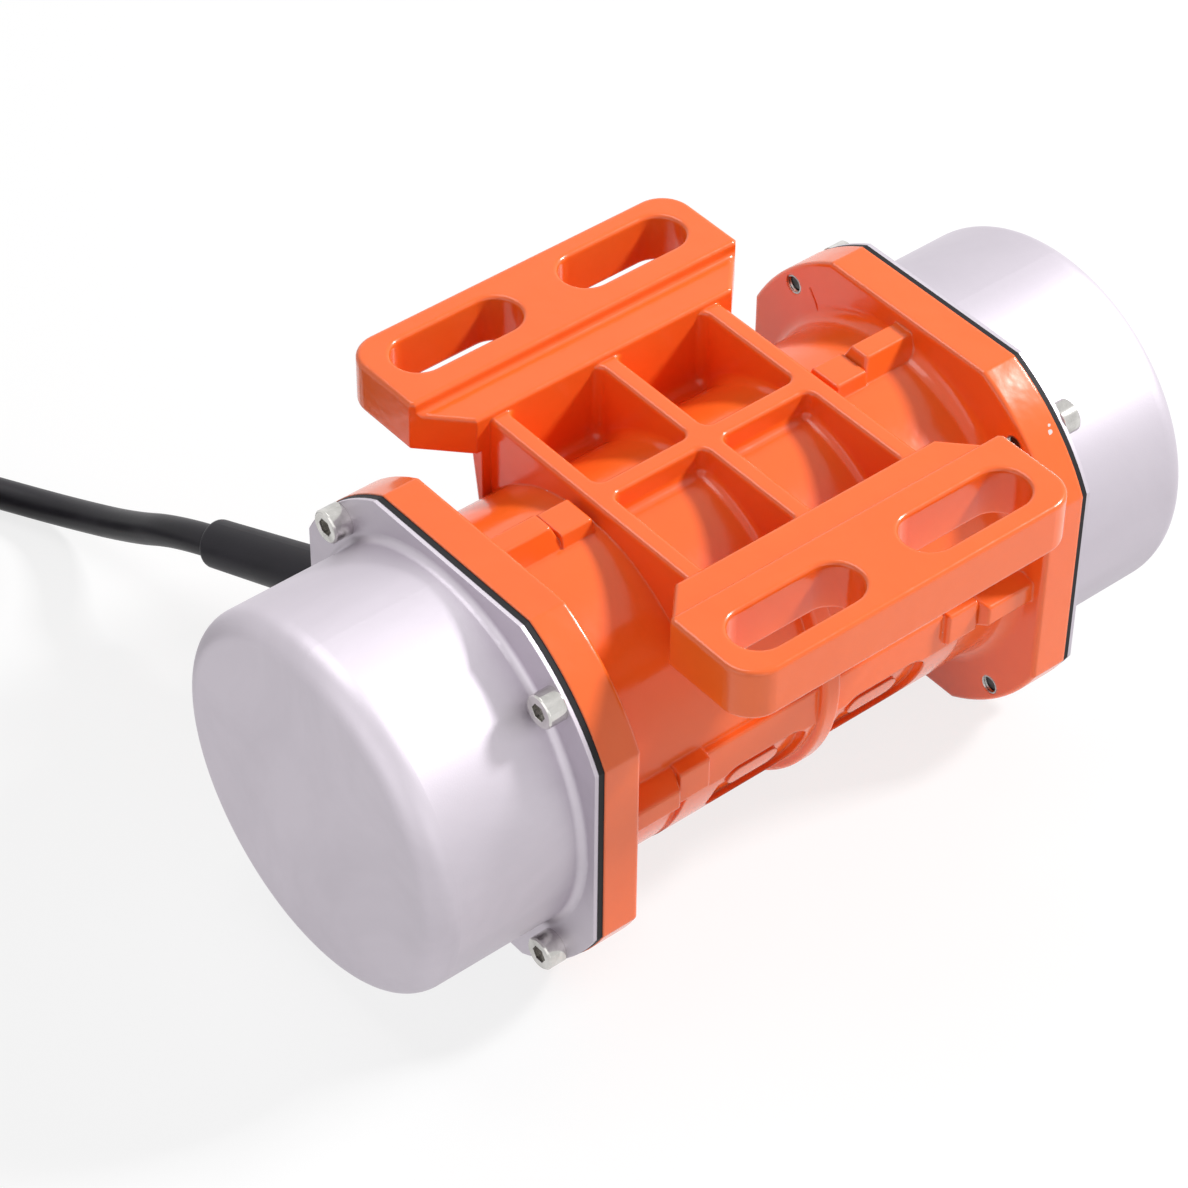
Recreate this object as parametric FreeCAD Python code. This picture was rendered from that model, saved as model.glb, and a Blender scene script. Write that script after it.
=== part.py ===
import FreeCAD, Part
import math
import os
from FreeCAD import Vector

# Foot-mounted vibration motor: a short induction motor whose shaft carries eccentric
# weights at both ends, under deep drawn caps. Millimetres. Parts are drawn about the
# shaft, which runs along X, with the mounting feet on top; they are saved with the
# origin at the centre of the mounting face.

# Housing skin, flanges and bores
skinRadius = 44.3
flangeFaceX = 73.0           # outer face of each housing flange
flangeThick = 10.5
flangeLand = 4.3             # flange left outside the cap, across the flats
flangeCornerLand = 10.6      # and at its corners, which are arcs about the shaft
wallAtStator = 7.3
neckWall = 5.8
neckFillet = 4.0
castEdge = 1.2               # rounding of the outer edges of the casting

# Mounting feet
footRise = 10.2              # skin to the mounting face
footFaceHeight = skinRadius + footRise
slotSpacingX = 50.6
slotSpacingY = 121.0
slotLength = 36.0
slotWidth = 13.5
footOuterLand = 12.5         # centre of the slots to the outer edge of a foot
footPadLand = 14.6           # centre of the slots to the inner edge of the machined pad
footEndLand = 6.7            # end of a slot to the end of a foot
footOuterY = slotSpacingY / 2 + footOuterLand
padInnerY = slotSpacingY / 2 - footPadLand
footInnerY = 35.5
stripDrop = 3.3              # the strip inside the pad is this much lower
footHalfLength = (slotSpacingX + slotLength) / 2 + footEndLand
footThick = 14.0
footSlant = 11.0             # the ends of a foot slant in by this much
footSlantLand = 1.1          # the slant starts this far outside the edge of the pad
footInnerHalfLength = footHalfLength - footSlant
footCornerRadius = 8.4

# Legs and rib lattice between the feet
latticeDrop = 5.0            # mounting face to the top of the ribs
ribPitch = 32.4
ribThick = 5.2
legThick = 6.0
legLean = 3.0                # the outer face of a leg leans in towards the skin
legEndGap = 1.5              # a leg stops this far inside the inner edge of its foot
legRoot = 4.5                # how deep a leg runs into the skin
legEndRound = 2.5
pocketFillet = 2.4
pocketLip = 0.2              # the straight wall of a pocket starts this far below the rounded rim
pocketSink = 2.0             # the round floor of a pocket lies this far below the skin
pocketLedge = 3.8            # flat ledge between the round floor of a pocket and its foot

# Ring and side panels round the body
ringProud = 3.7
ringRise = 2.0               # the ring's centre lies this far above the shaft
ringThick = 5.5
panelHalfLength = 43.0
panelProud = 1.7
panelTop = 4.5
panelFaceHeight = 11.0
panelFootAngle = 232.0       # where the panel dies into the skin, from +Y towards +Z
panelBulge = (2.2, 1.4)      # how far its curved part stands out past the chord, in Y and Z
windowLength = 28.0
windowHeight = 17.0
windowCorner = 6.0
windowGap = 2.0              # wall left between a window and the ring
windowDrop = 1.0             # a window starts this far above the lower edge of the face
windowSink = 1.3             # its floor lies this far below the skin
ovalLength = 15.0
ovalHeight = 6.0
ovalRise = 1.2

# Screw bosses along the necks: a low wide block by the ribs and a narrow rail up to the flange
blockStart = 36.3
blockLength = 10.0
blockProud = 3.4
blockTopWidth = 9.0
blockBaseWidth = 12.0
railStart = 44.5
railSlope = 3.5              # the inner end of a rail slopes back by this much
railProud = 5.7
railTopWidth = 5.6
railBaseWidth = 12.0
bossEdge = 0.8

# Cap joint
capStep = 4.4                # the cap is this much larger in radius than the skin
capScrewReach = 6.454        # cap to the centre of a cap screw
gasketThick = 1.5
gasketInset = 0.2
capThick = 1.1
capInset = 0.3
capEndClear = 5.0            # end of the shaft to the inside of the cap
capEdgeRadius = 6.4
capRootRadius = 2.0
capRadius = skinRadius + capStep
capScrewPitch = math.sqrt(2) * (capRadius + capScrewReach)
flangeFlat = capRadius + flangeLand
flangeCornerRadius = capRadius + flangeCornerLand

# Screw sizes: thread diameter, head diameter, head height, key size, key depth
capScrew = (5.0, 8.5, 5.0, 4.0, 2.6)
capScrewLength = 12.0
shieldScrew = (4.0, 7.0, 4.0, 3.0, 2.0)
shieldScrewLength = 14.0
clampScrew = (5.0, 8.5, 5.0, 4.0, 2.6)
clampScrewLength = 16.0
screwEdge = 0.4
threadGap = 0.05             # radial, between a screw and its tapped hole
holeGap = 0.25               # radial, between a screw and a plain hole
seatGap = 0.01               # radial, between a seated piece and its seat
spigotGap = 0.05             # radial, between an end shield and its bore

# Bearings: eight balls between two rings, the rings a plain deep-groove size
bearingBore = 15.0
bearingOutside = 35.0
bearingWidth = 11.0
bearingSink = 15.0           # flange face to the inboard face of the bearing
bearingInnerX = flangeFaceX - bearingSink
ballDiameter = 5.95
ballPitchRadius = (bearingBore + bearingOutside) / 4
ballCount = 8
ballGap = 0.06
ringLand = 2.1               # ball circle to the shoulder of each ring
cageRim = 0.82               # cage left each side of a ball
cageHalfThick = 1.1
bearingEdge = 0.5
washerThick = 0.8
washerEdgeGap = 0.2
bearingClipThick = 1.2
bearingClipReach = 1.6       # the clip covers this much of the bearing face
bearingClipBite = 0.9        # and enters its groove this far
bearingClipGroove = 1.1
bearingClipOpening = 7.0
clipGap = 0.05

# End shields
shieldFlangeProud = 1.7      # the flange is this much larger in radius than the skin
shieldFlangeThick = 5.0
shieldFlangeGap = 0.1        # radial, round the flange in its recess
shieldFlangeInset = 1.0      # below the flange face
shieldSpigotLength = 8.5
shieldSpigotWall = 3.5
shieldScrewSink = 1.8        # the shield screws lie this far inside the skin
shieldWebThick = 8.5
shieldLipThick = 2.0
shieldLipHeight = 4.5
shieldHubWall = 4.5
shieldHubRim = 2.0
shieldRimWidth = 3.0
shieldDishDepth = 3.5        # hollow in the outer face between hub and rim
shieldDraft = 1.0
shieldFlangeRadius = skinRadius + shieldFlangeProud
shieldScrewRadius = skinRadius - shieldScrewSink
shieldHubRadius = bearingOutside / 2 + shieldHubWall

# Stator and rotor
stackHalf = 24.0
statorSeatShoulder = 7.0     # the stator bore runs on this far past the stack
boreShare = 0.5675           # bore of the stator stack, as a share of its outside
statorBore = 2 * boreShare * (skinRadius - wallAtStator)
airGap = 0.35
statorSlots = 12
slotMouth = 2.4
slotTip = 1.6                # tooth tip between the bore and a slot
statorYoke = 5.0             # iron left outside the slots
slotInnerWidth = 5.4
slotOuterWidth = 9.4
slotCorner = 1.5
slotLining = 0.15
windingLength = 10.5
windingTip = 1.8             # stator bore to the inside of the end turns
windingEdge = 2.5            # outside of the end turns to the outside of the stack
windingTaper = 1.0
windingRound = 2.5
rotorBars = 14
barDiameter = 4.0
barDepth = 3.25              # rotor surface to the centre of a bar
endRingEdge = 0.45
endRingWall = 2.6            # shaft to the inside of a short-circuit ring
endRingLength = 6.5
endRingDraft = 0.8

# Eccentric weights: the inner one is keyed, the outer one is clamped and can be turned
weightToShield = 1.0         # clear of the heads of the shield screws
weightThick = 15.0
weightSpacing = 1.0
weightCapGap = 5.6           # radial, to the inside of the cap
weightSpread = 78.0          # half angle of the heavy side
weightHubWall = 6.0
weightCorner = 3.0
weightBoreGap = 0.03
keyWidth = 5.0
keyHeight = 5.0
keyDepth = 3.0               # how deep the key sits in the shaft
keyEndGap = 1.0
grubLength = 6.0
grubKey = 2.5
grubKeyDepth = 2.5
innerWeightBlockRise = 3.0   # hub to the top of the block round the grub screw
innerWeightBlockHalf = 6.0
clampScrewRise = 5.5         # hub to the clamp screw
clampBlockRise = 6.0         # clamp screw to the top of its block
clampBlockHalf = 9.0
clampSlit = 2.0
weightClipThick = 1.0
weightClipHeight = 2.6
weightClipDepth = 0.4
weightClipOpening = 5.0
weightClipSpace = 0.1        # between the clip and the outer weight
weightStartX = flangeFaceX - shieldFlangeInset + shieldScrew[2] + weightToShield
weightRadius = capRadius - capThick - weightCapGap

# Shaft
shaftShoulder = 2.5          # the core stands this far above the bearing seats
shaftStep = 0.5              # the ends are this far below them
shaftTail = 1.4              # past the weight clips
shaftChamfer = 1.0
shaftCoreRadius = bearingBore / 2 + shaftShoulder
shaftEndRadius = bearingBore / 2 - shaftStep
weightHubRadius = shaftEndRadius + weightHubWall
clampScrewHeight = weightHubRadius + clampScrewRise

# Cable and its sleeve
glandX = -53.0
glandZ = -11.0
glandBossRadius = 9.0
glandBossProud = 8.7
glandBossFaceY = skinRadius + glandBossProud
sleeveCollarRadius = 8.6
sleeveCollarLength = 2.5
sleeveCollarRound = 0.8
sleeveRootRadius = 7.0
sleeveEndRadius = 6.3
sleeveRootLength = 4.5       # straight part before the bend
sleeveEnd = (-65.3, 110.1, -24.0)
sleeveBendRadius = 22.0
sleevePlugDepth = 7.0
sleeveEndRound = 1.6
cableDiameter = 8.4
floorLevel = -flangeFlat
cableOnFloor = floorLevel + cableDiameter / 2
cableRoute = [sleeveEnd, (-68.2, 122.4, -27.0), (-70.2, 140.3, -37.4), (-74.4, 165.2, -46.9),
              (-83.2, 184.8, cableOnFloor), (-95.6, 207.4, cableOnFloor), (-110.8, 226.4, cableOnFloor)]
coilMeanRadius = 49.0
coilColumns = 2
coilLayers = 2
coilLooseEnd = 100.0         # degrees of the last part turn, lying on top
coreLength = 22.0
coreRadius = 1.35
# Each core: offset sideways and up from the cable's centre, then its heading in the same way
coreLay = [(-1.9, -0.9, -0.32, 0.0), (0.0, 1.2, -0.2, -0.03), (1.9, -0.9, -0.08, 0.0)]
ferruleLength = 8.0
ferruleRadius = 0.8
ferruleCollarLength = 5.0
ferruleCollarRadius = 1.7


def axialCylinder(radius, x0, x1):
    return Part.makeCylinder(radius, x1 - x0, Vector(x0, 0, 0), Vector(1, 0, 0))


def box(x0, x1, y0, y1, z0, z1):
    return Part.makeBox(x1 - x0, y1 - y0, z1 - z0, Vector(x0, y0, z0))


def prismX(points, x0, x1):
    """A straight-sided outline of (y, z) points, drawn out along X."""
    corners = [Vector(x0, y, z) for y, z in points]
    return Part.Face(Part.makePolygon(corners + corners[:1])).extrude(Vector(x1 - x0, 0, 0))


def prismZ(points, z0, z1):
    corners = [Vector(x, y, z0) for x, y in points]
    return Part.Face(Part.makePolygon(corners + corners[:1])).extrude(Vector(0, 0, z1 - z0))


def mirrored(shape, normal):
    return shape.mirror(Vector(0, 0, 0), normal)


def toSide(shape, side):
    """A shape drawn at the +X end, as it is or mirrored to the -X end."""
    return shape if side > 0 else mirrored(shape, Vector(1, 0, 0))


def tapped(size):
    return size[0] / 2 + threadGap


def plain(size):
    return size[0] / 2 + holeGap


def uprightEdges(shape):
    chosen = []
    for edge in shape.Edges:
        bounds = edge.BoundBox
        if bounds.XLength < 1e-6 and bounds.YLength < 1e-6:
            chosen.append(edge)
    return chosen


def slotCutter(cx, cy, length, width, z0, z1):
    half = (length - width) / 2
    cutter = box(cx - half, cx + half, cy - width / 2, cy + width / 2, z0, z1)
    for side in (-1, 1):
        cutter = cutter.fuse(Part.makeCylinder(width / 2, z1 - z0, Vector(cx + side * half, cy, z0)))
    return cutter.removeSplitter()


def flangeOutline(inset, x):
    """The flange outline: four flats joined by arcs about the shaft."""
    flat = flangeFlat - inset
    radius = flangeCornerRadius - inset
    reach = math.sqrt(radius ** 2 - flat ** 2)
    edges = []
    for quarter in range(4):
        cosine = math.cos(math.radians(90 * quarter))
        sine = math.sin(math.radians(90 * quarter))

        def place(y, z):
            return Vector(x, y * cosine - z * sine, y * sine + z * cosine)

        diagonal = radius * math.cos(math.radians(45))
        edges.append(Part.LineSegment(place(flat, -reach), place(flat, reach)).toShape())
        edges.append(Part.Arc(place(flat, reach), place(diagonal, diagonal), place(reach, flat)).toShape())
    return Part.Wire(edges)


def flangePlate(inset, x0, x1):
    return Part.Face(flangeOutline(inset, x0)).extrude(Vector(x1 - x0, 0, 0))


def screwPlaces():
    half = capScrewPitch / 2
    return [(y, z) for y in (-half, half) for z in (-half, half)]


def foot():
    """One foot, on the +Y side: a bar with a raised pad, two slots and a leg below it."""
    top = footFaceHeight
    bottom = footFaceHeight - footThick
    slant = padInnerY + footSlantLand
    plan = [(-footInnerHalfLength, footInnerY), (footInnerHalfLength, footInnerY),
            (footHalfLength, slant), (footHalfLength, footOuterY),
            (-footHalfLength, footOuterY), (-footHalfLength, slant)]
    bar = prismZ(plan, bottom, top)
    outerCorners = [edge for edge in uprightEdges(bar) if edge.BoundBox.YMin > footOuterY - 0.01]
    bar = bar.makeFillet(footCornerRadius, outerCorners)
    bar = bar.cut(box(-footHalfLength - 1, footHalfLength + 1, footInnerY - 1, padInnerY,
                      top - stripDrop, top + 1))
    for side in (-1, 1):
        bar = bar.cut(slotCutter(side * slotSpacingX / 2, slotSpacingY / 2, slotLength, slotWidth,
                                 bottom - 1, top + 1))
    rim = [edge for edge in bar.Edges if edge.BoundBox.ZLength < 1e-6]
    return bar.makeFillet(castEdge, rim)


def leg():
    """The wall under a foot's inner strip, down to the skin."""
    top = footFaceHeight - footThick + 1
    bottom = math.sqrt(skinRadius ** 2 - footInnerY ** 2) - legRoot
    outer = footInnerY + legThick
    half = footInnerHalfLength - legEndGap
    profile = [(footInnerY, bottom), (outer - legLean, bottom), (outer, top), (footInnerY, top)]
    wall = prismX(profile, -half, half)
    ends = [edge for edge in wall.Edges
            if edge.BoundBox.XLength < 1e-6 and edge.BoundBox.ZLength > 1 and edge.BoundBox.YMin > footInnerY]
    return wall.makeFillet(legEndRound, ends)


def pocketCutter(x0, x1, y0, y1, top):
    """One pocket up to a height, with a round floor over the stator and filleted all round."""
    bottom = math.sqrt((skinRadius - pocketSink) ** 2 - (footInnerY - pocketLedge) ** 2)
    cutter = box(x0, x1, y0, y1, bottom, top)
    cutter = cutter.cut(axialCylinder(skinRadius - pocketSink, x0 - 1, x1 + 1))
    edges = [edge for edge in cutter.Edges if edge.BoundBox.ZMin < top - 1]
    return cutter.makeFillet(pocketFillet, edges)


def pockets(top):
    cutters = []
    for side in (-1, 1):
        for wing in (-1, 1):
            xs = sorted((side * ribThick / 2, side * (ribPitch - ribThick / 2)))
            ys = sorted((wing * ribThick / 2, wing * footInnerY))
            cutters.append(pocketCutter(xs[0], xs[1], ys[0], ys[1], top))
    return Part.makeCompound(cutters)


def lattice():
    """The block of ribs between the feet, its top edges rounded along the ends and round each pocket."""
    half = ribPitch + ribThick / 2
    reach = footInnerY + 2 * castEdge
    top = footFaceHeight - latticeDrop
    block = box(-half, half, -reach, reach, 0, top).cut(pockets(footFaceHeight))
    rims = [edge for edge in block.Edges
            if edge.BoundBox.ZMin > top - 0.01 and abs(edge.BoundBox.Center.y) < reach - 0.01]
    return block.makeFillet(castEdge, rims)


def ring():
    radius = skinRadius + ringProud
    disc = Part.makeCylinder(radius, ringThick, Vector(-ringThick / 2, 0, ringRise), Vector(1, 0, 0))
    disc = disc.makeFillet(castEdge, [edge for edge in disc.Edges if edge.BoundBox.XLength < 1e-6])
    return disc.cut(box(-ringThick, ringThick, -footInnerY, footInnerY, footInnerY, radius * 2))


def sidePanel():
    """Raised panel on the -Y side: a flat face under a ledge, curving back into the skin."""
    angle = math.radians(panelFootAngle)
    die = (math.cos(angle) * skinRadius, math.sin(angle) * skinRadius)
    faceLow = panelTop - panelFaceHeight
    inner = wallAtStator / 2 - skinRadius
    face = -skinRadius - panelProud
    middle = ((face + die[0]) / 2 - panelBulge[0], (faceLow + die[1]) / 2 - panelBulge[1])

    def at(y, z):
        return Vector(-panelHalfLength, y, z)

    edges = [Part.LineSegment(at(inner, panelTop), at(face, panelTop)).toShape(),
             Part.LineSegment(at(face, panelTop), at(face, faceLow)).toShape(),
             Part.Arc(at(face, faceLow), at(*middle), at(*die)).toShape(),
             Part.LineSegment(at(*die), at(inner, panelTop)).toShape()]
    panel = Part.Face(Part.Wire(edges)).extrude(Vector(2 * panelHalfLength, 0, 0))
    return panel.makeFillet(bossEdge, [edge for edge in panel.Edges if edge.BoundBox.YMax < face + 0.01])


def panelWindow(side):
    """A shallow window beside the ring, with a low oval boss left standing in it."""
    high = panelTop - panelFaceHeight + windowDrop
    low = high - windowHeight
    near = ringThick / 2 + windowGap
    far = near + windowLength
    outside = skinRadius + panelProud + 1
    floor = skinRadius - windowSink
    cutter = box(near, far, -outside, 0, low, high)
    cutter = cutter.makeFillet(windowCorner, [edge for edge in cutter.Edges if edge.BoundBox.YLength > 1])
    cutter = cutter.cut(axialCylinder(floor, near - 1, far + 1))
    oval = slotCutter((near + far) / 2, (low + high) / 2, ovalLength, ovalHeight, 0, outside)
    oval.rotate(Vector(0, 0, 0), Vector(1, 0, 0), 90)
    oval = oval.common(axialCylinder(floor + ovalRise, near, far))
    cutter = cutter.cut(oval)
    return toSide(cutter, side)


def taperedBoss(x0, slope, x1, baseWidth, topWidth, top):
    """A boss on top of the neck, narrowing upwards, its inner end sloping back."""
    low = skinRadius - neckWall / 2
    boss = Part.makeWedge(x0, low, -baseWidth / 2, -topWidth / 2, x0 + slope,
                          x1, top, baseWidth / 2, topWidth / 2, x1)
    boss.rotate(Vector(0, 0, 0), Vector(1, 0, 0), 90)
    edges = [edge for edge in boss.Edges if edge.BoundBox.ZMax > skinRadius and edge.BoundBox.XMin < x1 - 0.01]
    return boss.makeFillet(bossEdge, edges)


def neckBosses(side):
    """Four screw bosses along one neck, at top, bottom and both sides."""
    parts = []
    for quarter in range(4):
        boss = taperedBoss(blockStart, bossEdge, blockStart + blockLength, blockBaseWidth, blockTopWidth,
                           skinRadius + blockProud)
        boss = boss.fuse(taperedBoss(railStart, railSlope, flangeFaceX - 1, railBaseWidth, railTopWidth,
                                     skinRadius + railProud))
        boss.rotate(Vector(0, 0, 0), Vector(1, 0, 0), 90 * quarter)
        parts.append(toSide(boss, side))
    return parts


def neckFilletRing(side):
    """The round between a neck and its flange."""
    root = flangeFaceX - flangeThick
    top = skinRadius + neckFillet
    slope = neckFillet * math.cos(math.radians(45))

    def at(x, radius):
        return Vector(x, 0, radius)

    corners = [at(root, top), at(root + 1, top), at(root + 1, skinRadius - 1),
               at(root - neckFillet, skinRadius - 1), at(root - neckFillet, skinRadius)]
    edges = [Part.LineSegment(first, second).toShape() for first, second in zip(corners, corners[1:])]
    edges.append(Part.Arc(corners[-1], at(root - neckFillet + slope, top - slope), corners[0]).toShape())
    return toSide(Part.Face(Part.Wire(edges)).revolve(Vector(0, 0, 0), Vector(1, 0, 0), 360), side)


def glandBoss():
    """The round boss on the +Y side that the cable sleeve seats on."""
    boss = Part.makeCylinder(glandBossRadius, glandBossFaceY, Vector(glandX, 0, glandZ), Vector(0, 1, 0))
    rim = [edge for edge in boss.Edges if edge.BoundBox.YMin > glandBossFaceY - 0.01]
    return boss.makeFillet(castEdge, rim)


def radialHoles(radius, depthFrom, depthTo, distance, side):
    """Four holes along X, one in each axial boss."""
    holes = []
    for quarter in range(4):
        turn = math.radians(90 * quarter)
        hole = Part.makeCylinder(radius, depthTo - depthFrom,
                                 Vector(depthFrom, distance * math.sin(turn), distance * math.cos(turn)),
                                 Vector(1, 0, 0))
        holes.append(toSide(hole, side))
    return holes


def counterboreX():
    return flangeFaceX - shieldFlangeInset - shieldFlangeThick


def housingBores():
    neckRadius = skinRadius - neckWall
    cutters = [axialCylinder(skinRadius - wallAtStator, -flangeFaceX - 1, flangeFaceX + 1)]
    for side in (-1, 1):
        ends = sorted((side * (stackHalf + statorSeatShoulder), side * (flangeFaceX + 1)))
        cutters.append(axialCylinder(neckRadius, ends[0], ends[1]))
        ends = sorted((side * counterboreX(), side * (flangeFaceX + 1)))
        cutters.append(axialCylinder(shieldFlangeRadius + shieldFlangeGap, ends[0], ends[1]))
        for y, z in screwPlaces():
            ends = sorted((side * (flangeFaceX - flangeThick - 1), side * (flangeFaceX + 1)))
            cutters.append(Part.makeCylinder(tapped(capScrew), ends[1] - ends[0], Vector(ends[0], y, z),
                                             Vector(1, 0, 0)))
        depth = counterboreX() - shieldScrewLength
        cutters += radialHoles(tapped(shieldScrew), depth, flangeFaceX, shieldScrewRadius, side)
    cutters.append(Part.makeCylinder(cableDiameter / 2 + holeGap, glandBossFaceY + 1,
                                     Vector(glandX, 0, glandZ), Vector(0, 1, 0)))
    return cutters


def housing():
    """The die-cast body with its feet, ribs, flanges and bosses, in one piece."""
    solid = axialCylinder(skinRadius, -flangeFaceX + 1, flangeFaceX - 1)
    pieces = [lattice(), ring(), sidePanel(), mirrored(sidePanel(), Vector(0, 1, 0)), glandBoss()]
    for side in (-1, 1):
        inboard = side * (flangeFaceX - flangeThick)
        plate = flangePlate(0, side * flangeFaceX, inboard)
        rim = [edge for edge in plate.Edges if abs(edge.BoundBox.XMin - inboard) < 1e-6
               or abs(edge.BoundBox.XMax - inboard) < 1e-6]
        pieces += [plate.makeFillet(castEdge, rim), neckFilletRing(side)] + neckBosses(side)
        normal = Vector(0, 1, 0)
        pieces += [foot(), leg()] if side > 0 else [mirrored(foot(), normal), mirrored(leg(), normal)]
    solid = solid.multiFuse(pieces)
    solid = solid.cut(pockets(footFaceHeight - latticeDrop - castEdge - pocketLip))
    windows = []
    for side in (-1, 1):
        window = panelWindow(side)
        windows += [window, mirrored(window, Vector(0, 1, 0))]
    solid = solid.cut(Part.makeCompound(windows))
    for cutter in housingBores():
        solid = solid.cut(cutter)
    return solid.removeSplitter()


def turned(points):
    """A solid of revolution about the shaft from a closed outline of (x, radius) points."""
    corners = [Vector(x, 0, radius) for x, radius in points]
    return Part.Face(Part.makePolygon(corners + corners[:1])).revolve(Vector(0, 0, 0), Vector(1, 0, 0), 360)


def socketScrew(size, length):
    """A socket head screw along X: the head's seat at x = 0, the head towards +X."""
    thread, head, height, key, keyDepth = size
    shank = thread / 2
    rim = head / 2
    body = turned([(-length, 0), (-length, shank - screwEdge), (-length + screwEdge, shank), (0, shank),
                   (0, rim), (height - screwEdge, rim), (height, rim - screwEdge), (height, 0)])
    return body.cut(hexPrism(key, height - keyDepth, height + 1))


def hexPrism(acrossFlats, x0, x1):
    radius = acrossFlats / 2 / math.cos(math.radians(30))
    turns = [math.radians(60 * i) for i in range(6)]
    return prismX([(radius * math.cos(turn), radius * math.sin(turn)) for turn in turns], x0, x1)


def gasket():
    solid = flangePlate(gasketInset, flangeFaceX, flangeFaceX + gasketThick)
    solid = solid.cut(axialCylinder(capRadius - capThick, 0, capEndX()))
    for y, z in screwPlaces():
        solid = solid.cut(Part.makeCylinder(plain(capScrew), gasketThick + 2, Vector(flangeFaceX - 1, y, z),
                                            Vector(1, 0, 0)))
    return solid


def capSeatX():
    return flangeFaceX + gasketThick


def capEndX():
    return shaftEndX() + capEndClear + capThick


def endCap():
    """The drawn cap: a plate in the flange's outline and a deep cup, of one thickness."""
    seat = capSeatX()
    face = seat + capThick
    end = capEndX()
    inner = capRadius - capThick
    innerEdge = capEdgeRadius - capThick
    slope = math.cos(math.radians(45))

    root = capRadius + capRootRadius
    edgeX = end - capEdgeRadius
    edge = capRadius - capEdgeRadius

    def line(*ends):
        first, second = [Vector(x, 0, radius) for x, radius in ends]
        return Part.LineSegment(first, second).toShape()

    def arc(*places):
        first, middle, last = [Vector(x, 0, radius) for x, radius in places]
        return Part.Arc(first, middle, last).toShape()

    edges = [
        arc((face, root), (face + capRootRadius * (1 - slope), root - capRootRadius * slope),
            (face + capRootRadius, capRadius)),
        line((face + capRootRadius, capRadius), (edgeX, capRadius)),
        arc((edgeX, capRadius), (edgeX + capEdgeRadius * slope, edge + capEdgeRadius * slope), (end, edge)),
        line((end, edge), (end, 0)),
        line((end, 0), (end - capThick, 0)),
        line((end - capThick, 0), (end - capThick, edge)),
        arc((end - capThick, edge), (edgeX + innerEdge * slope, edge + innerEdge * slope), (edgeX, inner)),
        line((edgeX, inner), (seat, inner)),
        line((seat, inner), (seat, root)),
        line((seat, root), (face, root)),
    ]
    cup = Part.Face(Part.Wire(edges)).revolve(Vector(0, 0, 0), Vector(1, 0, 0), 360)
    plate = flangePlate(capInset, seat, face).cut(axialCylinder(capRadius, seat - 1, face + 1))
    cap = cup.fuse(plate).removeSplitter()
    for y, z in screwPlaces():
        cap = cap.cut(Part.makeCylinder(plain(capScrew), capThick + 2, Vector(seat - 1, y, z),
                                        Vector(1, 0, 0)))
    return cap


def capScrews():
    screws = []
    for y, z in screwPlaces():
        screw = socketScrew(capScrew, capScrewLength)
        screw.translate(Vector(capSeatX() + capThick, y, z))
        screws.append(screw)
    return Part.makeCompound(screws)


def clipGrooveX():
    return bearingInnerX + bearingWidth + clipGap


def endShield(shoulderX):
    """The bearing bracket: flange, spigot, ribbed dish, hub and a lip behind the bearing."""
    seat = bearingOutside / 2 + seatGap
    flangeIn = counterboreX()
    faceOut = flangeIn + shieldFlangeThick
    spigot = skinRadius - neckWall - spigotGap
    spigotIn = flangeIn - shieldSpigotLength
    spigotBore = spigot - shieldSpigotWall
    webIn = faceOut - shieldWebThick
    dishX = faceOut - shieldDishDepth
    hubRim = shieldHubRadius + shieldHubRim
    rim = spigot - shieldRimWidth
    lipX = shoulderX - shieldLipThick
    lip = bearingOutside / 2 - shieldLipHeight
    groove = (clipGrooveX(), clipGrooveX() + bearingClipThick + clipGap)
    grooveRadius = seat + bearingClipGroove
    solid = turned([
        (lipX, lip), (shoulderX, lip), (shoulderX, seat),
        (groove[0], seat), (groove[0], grooveRadius), (groove[1], grooveRadius), (groove[1], seat),
        (faceOut, seat), (faceOut, hubRim), (dishX, hubRim + shieldHubRim), (dishX, rim - shieldHubRim),
        (faceOut, rim), (faceOut, shieldFlangeRadius), (flangeIn, shieldFlangeRadius), (flangeIn, spigot),
        (spigotIn, spigot), (spigotIn, spigotBore), (webIn, spigotBore - shieldDraft),
        (webIn, shieldHubRadius + shieldDraft), (lipX, shieldHubRadius - shieldDraft)])
    for hole in radialHoles(plain(shieldScrew), spigotIn - 1, faceOut + 1, shieldScrewRadius, 1):
        solid = solid.cut(hole)
    return solid


def shieldScrews():
    screws = []
    for quarter in range(4):
        turn = math.radians(90 * quarter)
        screw = socketScrew(shieldScrew, shieldScrewLength)
        screw.translate(Vector(counterboreX() + shieldFlangeThick, shieldScrewRadius * math.sin(turn),
                               shieldScrewRadius * math.cos(turn)))
        screws.append(screw)
    return Part.makeCompound(screws)


def ballCentreX():
    return bearingInnerX + bearingWidth / 2


def raceGroove():
    radius = ballDiameter / 2 + ballGap
    return Part.makeTorus(ballPitchRadius, radius, Vector(ballCentreX(), 0, 0), Vector(1, 0, 0))


def bearingRing(seat, race):
    """A ring with its seated side chamfered and the groove cut across the side with the race."""
    x0 = bearingInnerX
    x1 = x0 + bearingWidth
    edge = bearingEdge if race > seat else -bearingEdge
    points = [(x0, race), (x0, seat + edge), (x0 + bearingEdge, seat), (x1 - bearingEdge, seat),
              (x1, seat + edge), (x1, race)]
    return turned(points).cut(raceGroove())


def ballPlaces():
    turns = [2 * math.pi * (i + 0.5) / ballCount for i in range(ballCount)]
    return [Vector(ballCentreX(), ballPitchRadius * math.sin(turn), ballPitchRadius * math.cos(turn))
            for turn in turns]


def balls():
    return Part.makeCompound([Part.makeSphere(ballDiameter / 2, place) for place in ballPlaces()])


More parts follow.
